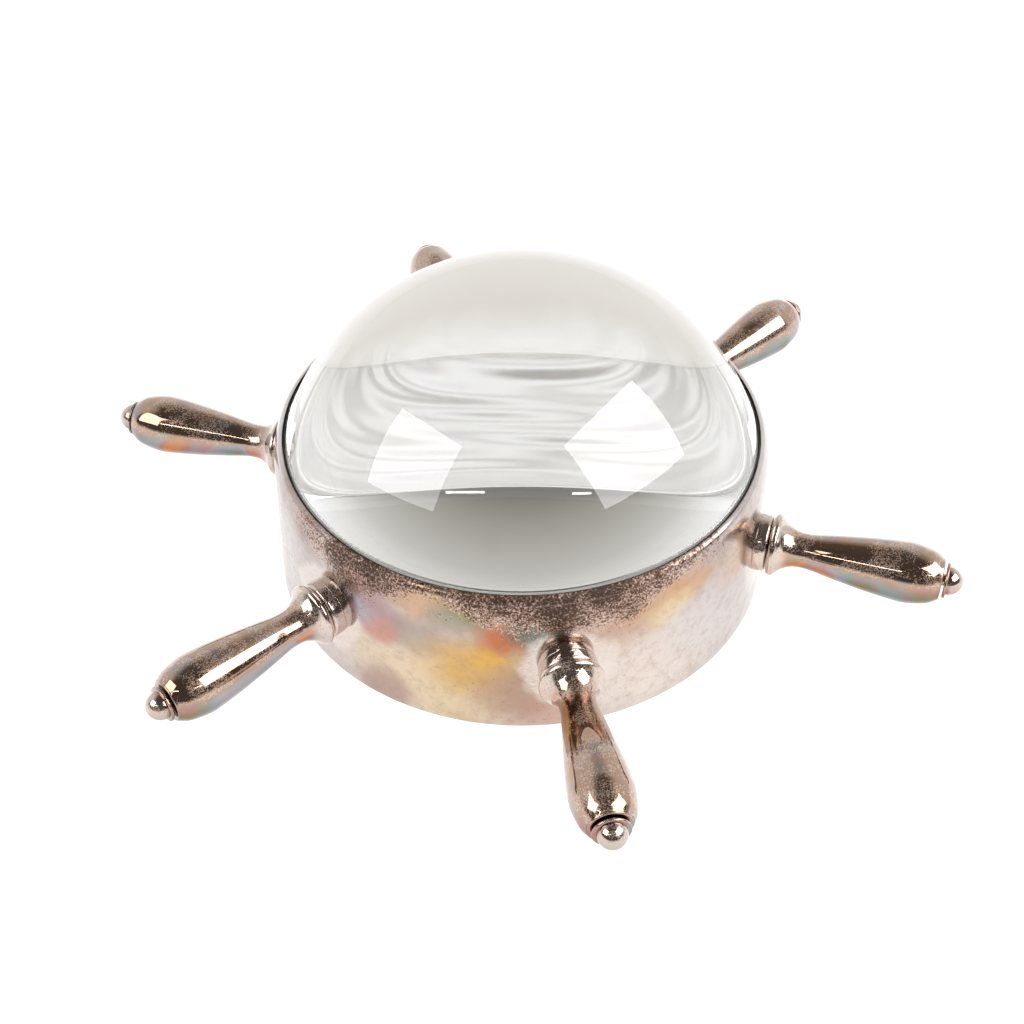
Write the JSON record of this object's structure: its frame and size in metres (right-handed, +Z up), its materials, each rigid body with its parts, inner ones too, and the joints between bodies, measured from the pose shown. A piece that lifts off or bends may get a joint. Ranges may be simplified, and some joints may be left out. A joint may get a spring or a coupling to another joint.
{
  "type": "desk magnifier",
  "caption": "Ship's-wheel desk magnifier: a thick glass dome in a deep plated drum with turned spokes, stood on a page to enlarge it.",
  "frame": {"origin": "centre of the drum's foot, on the surface that it rests on", "axes": "+Z up through the glass; -Y towards the viewer of the rest view"},
  "size_m": [0.177, 0.1798, 0.0658],
  "materials": {
    "silver_plate": "silver plate, semi-mirror, clouded and speckled with tarnish",
    "spoke_plate": "polished silver plate with brown speckled tarnish",
    "lens_glass": "clear polished glass",
    "black_seal": "matte black sealing ring",
    "bare_brass": "satin, unplated"
  },
  "bodies": {
    "root": {"drum_shell": "silver_plate", "magnifying_lens": "lens_glass", "lens_gasket": "black_seal", "spoke_collar_1": "spoke_plate", "spoke_grip_1": "spoke_plate", "spoke_finial_1": "spoke_plate", "spoke_screw_1": "bare_brass", "spoke_collar_2": "spoke_plate", "spoke_grip_2": "spoke_plate", "spoke_finial_2": "spoke_plate", "spoke_screw_2": "bare_brass", "spoke_collar_3": "spoke_plate", "spoke_grip_3": "spoke_plate", "spoke_finial_3": "spoke_plate", "spoke_screw_3": "bare_brass", "spoke_collar_4": "spoke_plate", "spoke_grip_4": "spoke_plate", "spoke_finial_4": "spoke_plate", "spoke_screw_4": "bare_brass", "spoke_collar_5": "spoke_plate", "spoke_grip_5": "spoke_plate", "spoke_finial_5": "spoke_plate", "spoke_screw_5": "bare_brass", "spoke_collar_6": "spoke_plate", "spoke_grip_6": "spoke_plate", "spoke_finial_6": "spoke_plate", "spoke_screw_6": "bare_brass"}
  },
  "joints": []
}
